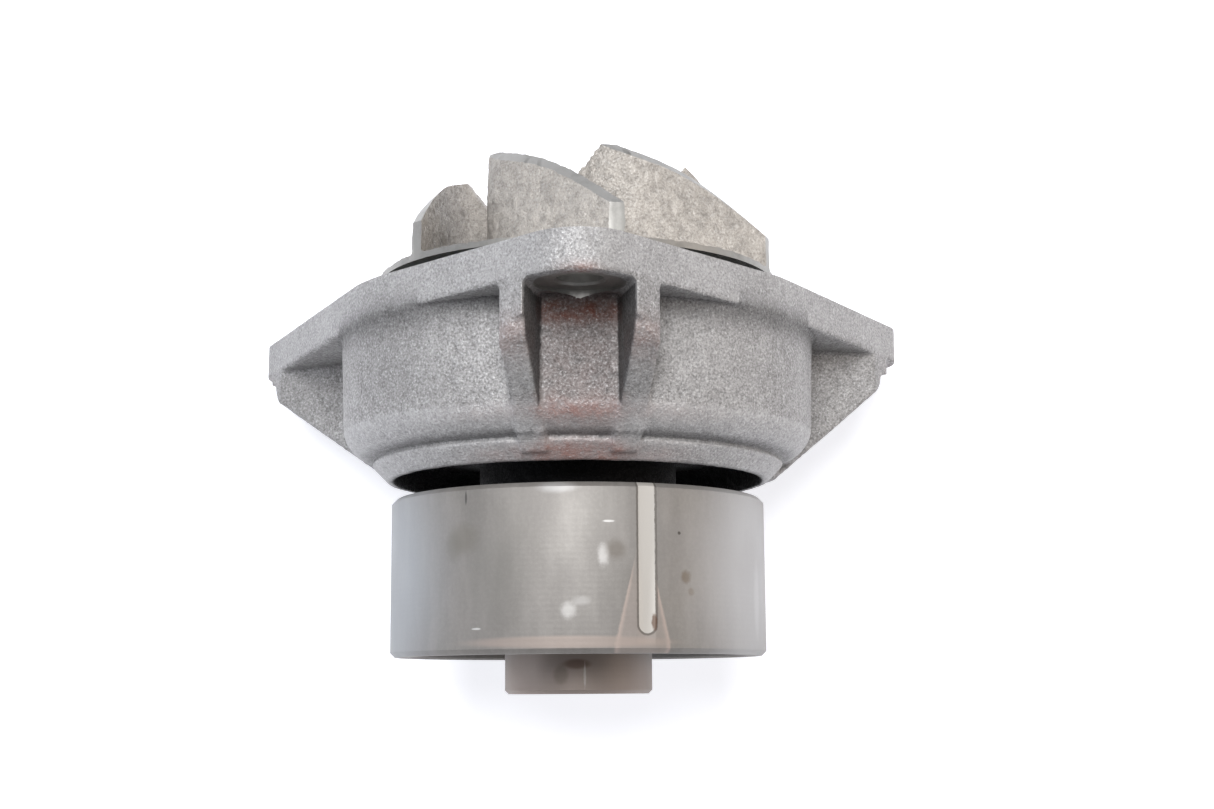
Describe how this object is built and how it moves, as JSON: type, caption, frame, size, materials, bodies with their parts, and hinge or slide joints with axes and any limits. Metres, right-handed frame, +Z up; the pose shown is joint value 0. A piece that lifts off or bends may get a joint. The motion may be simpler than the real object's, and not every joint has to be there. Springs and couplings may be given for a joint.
{
  "type": "water pump",
  "caption": "Engine coolant pump: three-eared cast housing, belt pulley, integral shaft bearing, face seal and an open curved-vane impeller.",
  "frame": {"origin": "centre of the shaft's pulley-side end, flush with the end of the pulley's hub", "axes": "+Y along the shaft towards the impeller; +Z up when the pump lies on the straight side of its left ear, with the top ear upwards"},
  "size_m": [0.1882, 0.1414, 0.1523],
  "materials": {
    "cast_iron": "sand-cast, bare, light rust",
    "turned_steel": "turned, worn by the belt",
    "rough_iron": "sand-cast, vane edges machined",
    "ground_steel": "ground and hardened",
    "cage_nylon": "moulded nylon",
    "black_rubber": "moulded nitrile",
    "brass_sheet": "pressed sheet",
    "spring_steel": "drawn wire",
    "carbon": "lapped carbon graphite",
    "ceramic": "lapped ceramic"
  },
  "bodies": {
    "housing": {"housing": "cast_iron", "bearing_outer_ring": "ground_steel", "pulley_side_lip_seal": "black_rubber", "pump_side_lip_seal": "black_rubber", "seal_cup": "brass_sheet", "seal_bellows": "black_rubber", "seal_spring": "spring_steel", "seal_face_ring": "carbon"},
    "rotor": {"shaft": "ground_steel", "drive_pulley": "turned_steel", "impeller": "rough_iron", "seal_seat": "ceramic", "seal_seat_rubber": "black_rubber"},
    "ball_train": {"ball_cage": "cage_nylon", "ball_1": "ground_steel", "ball_2": "ground_steel", "ball_3": "ground_steel", "ball_4": "ground_steel", "ball_5": "ground_steel", "ball_6": "ground_steel", "ball_7": "ground_steel", "ball_8": "ground_steel", "ball_9": "ground_steel"},
    "roller_train": {"roller_cage": "cage_nylon", "roller_1": "ground_steel", "roller_2": "ground_steel", "roller_3": "ground_steel", "roller_4": "ground_steel", "roller_5": "ground_steel", "roller_6": "ground_steel", "roller_7": "ground_steel", "roller_8": "ground_steel", "roller_9": "ground_steel", "roller_10": "ground_steel"}
  },
  "joints": [
    {"name": "shaft_spin", "type": "hinge", "parent": "housing", "child": "rotor", "pos_m": [0, 0, 0], "axis": [0, 1, 0], "continuous": true},
    {"name": "ball_train_spin", "type": "hinge", "parent": "housing", "child": "ball_train", "pos_m": [0, 0.04, 0], "axis": [0, 1, 0], "continuous": true},
    {"name": "roller_train_spin", "type": "hinge", "parent": "housing", "child": "roller_train", "pos_m": [0, 0.066, 0], "axis": [0, 1, 0], "continuous": true}
  ],
  "couplings": [
    {"joint": "ball_train_spin", "follows": "shaft_spin", "ratio": 0.35772},
    {"joint": "roller_train_spin", "follows": "shaft_spin", "ratio": 0.39837}
  ]
}
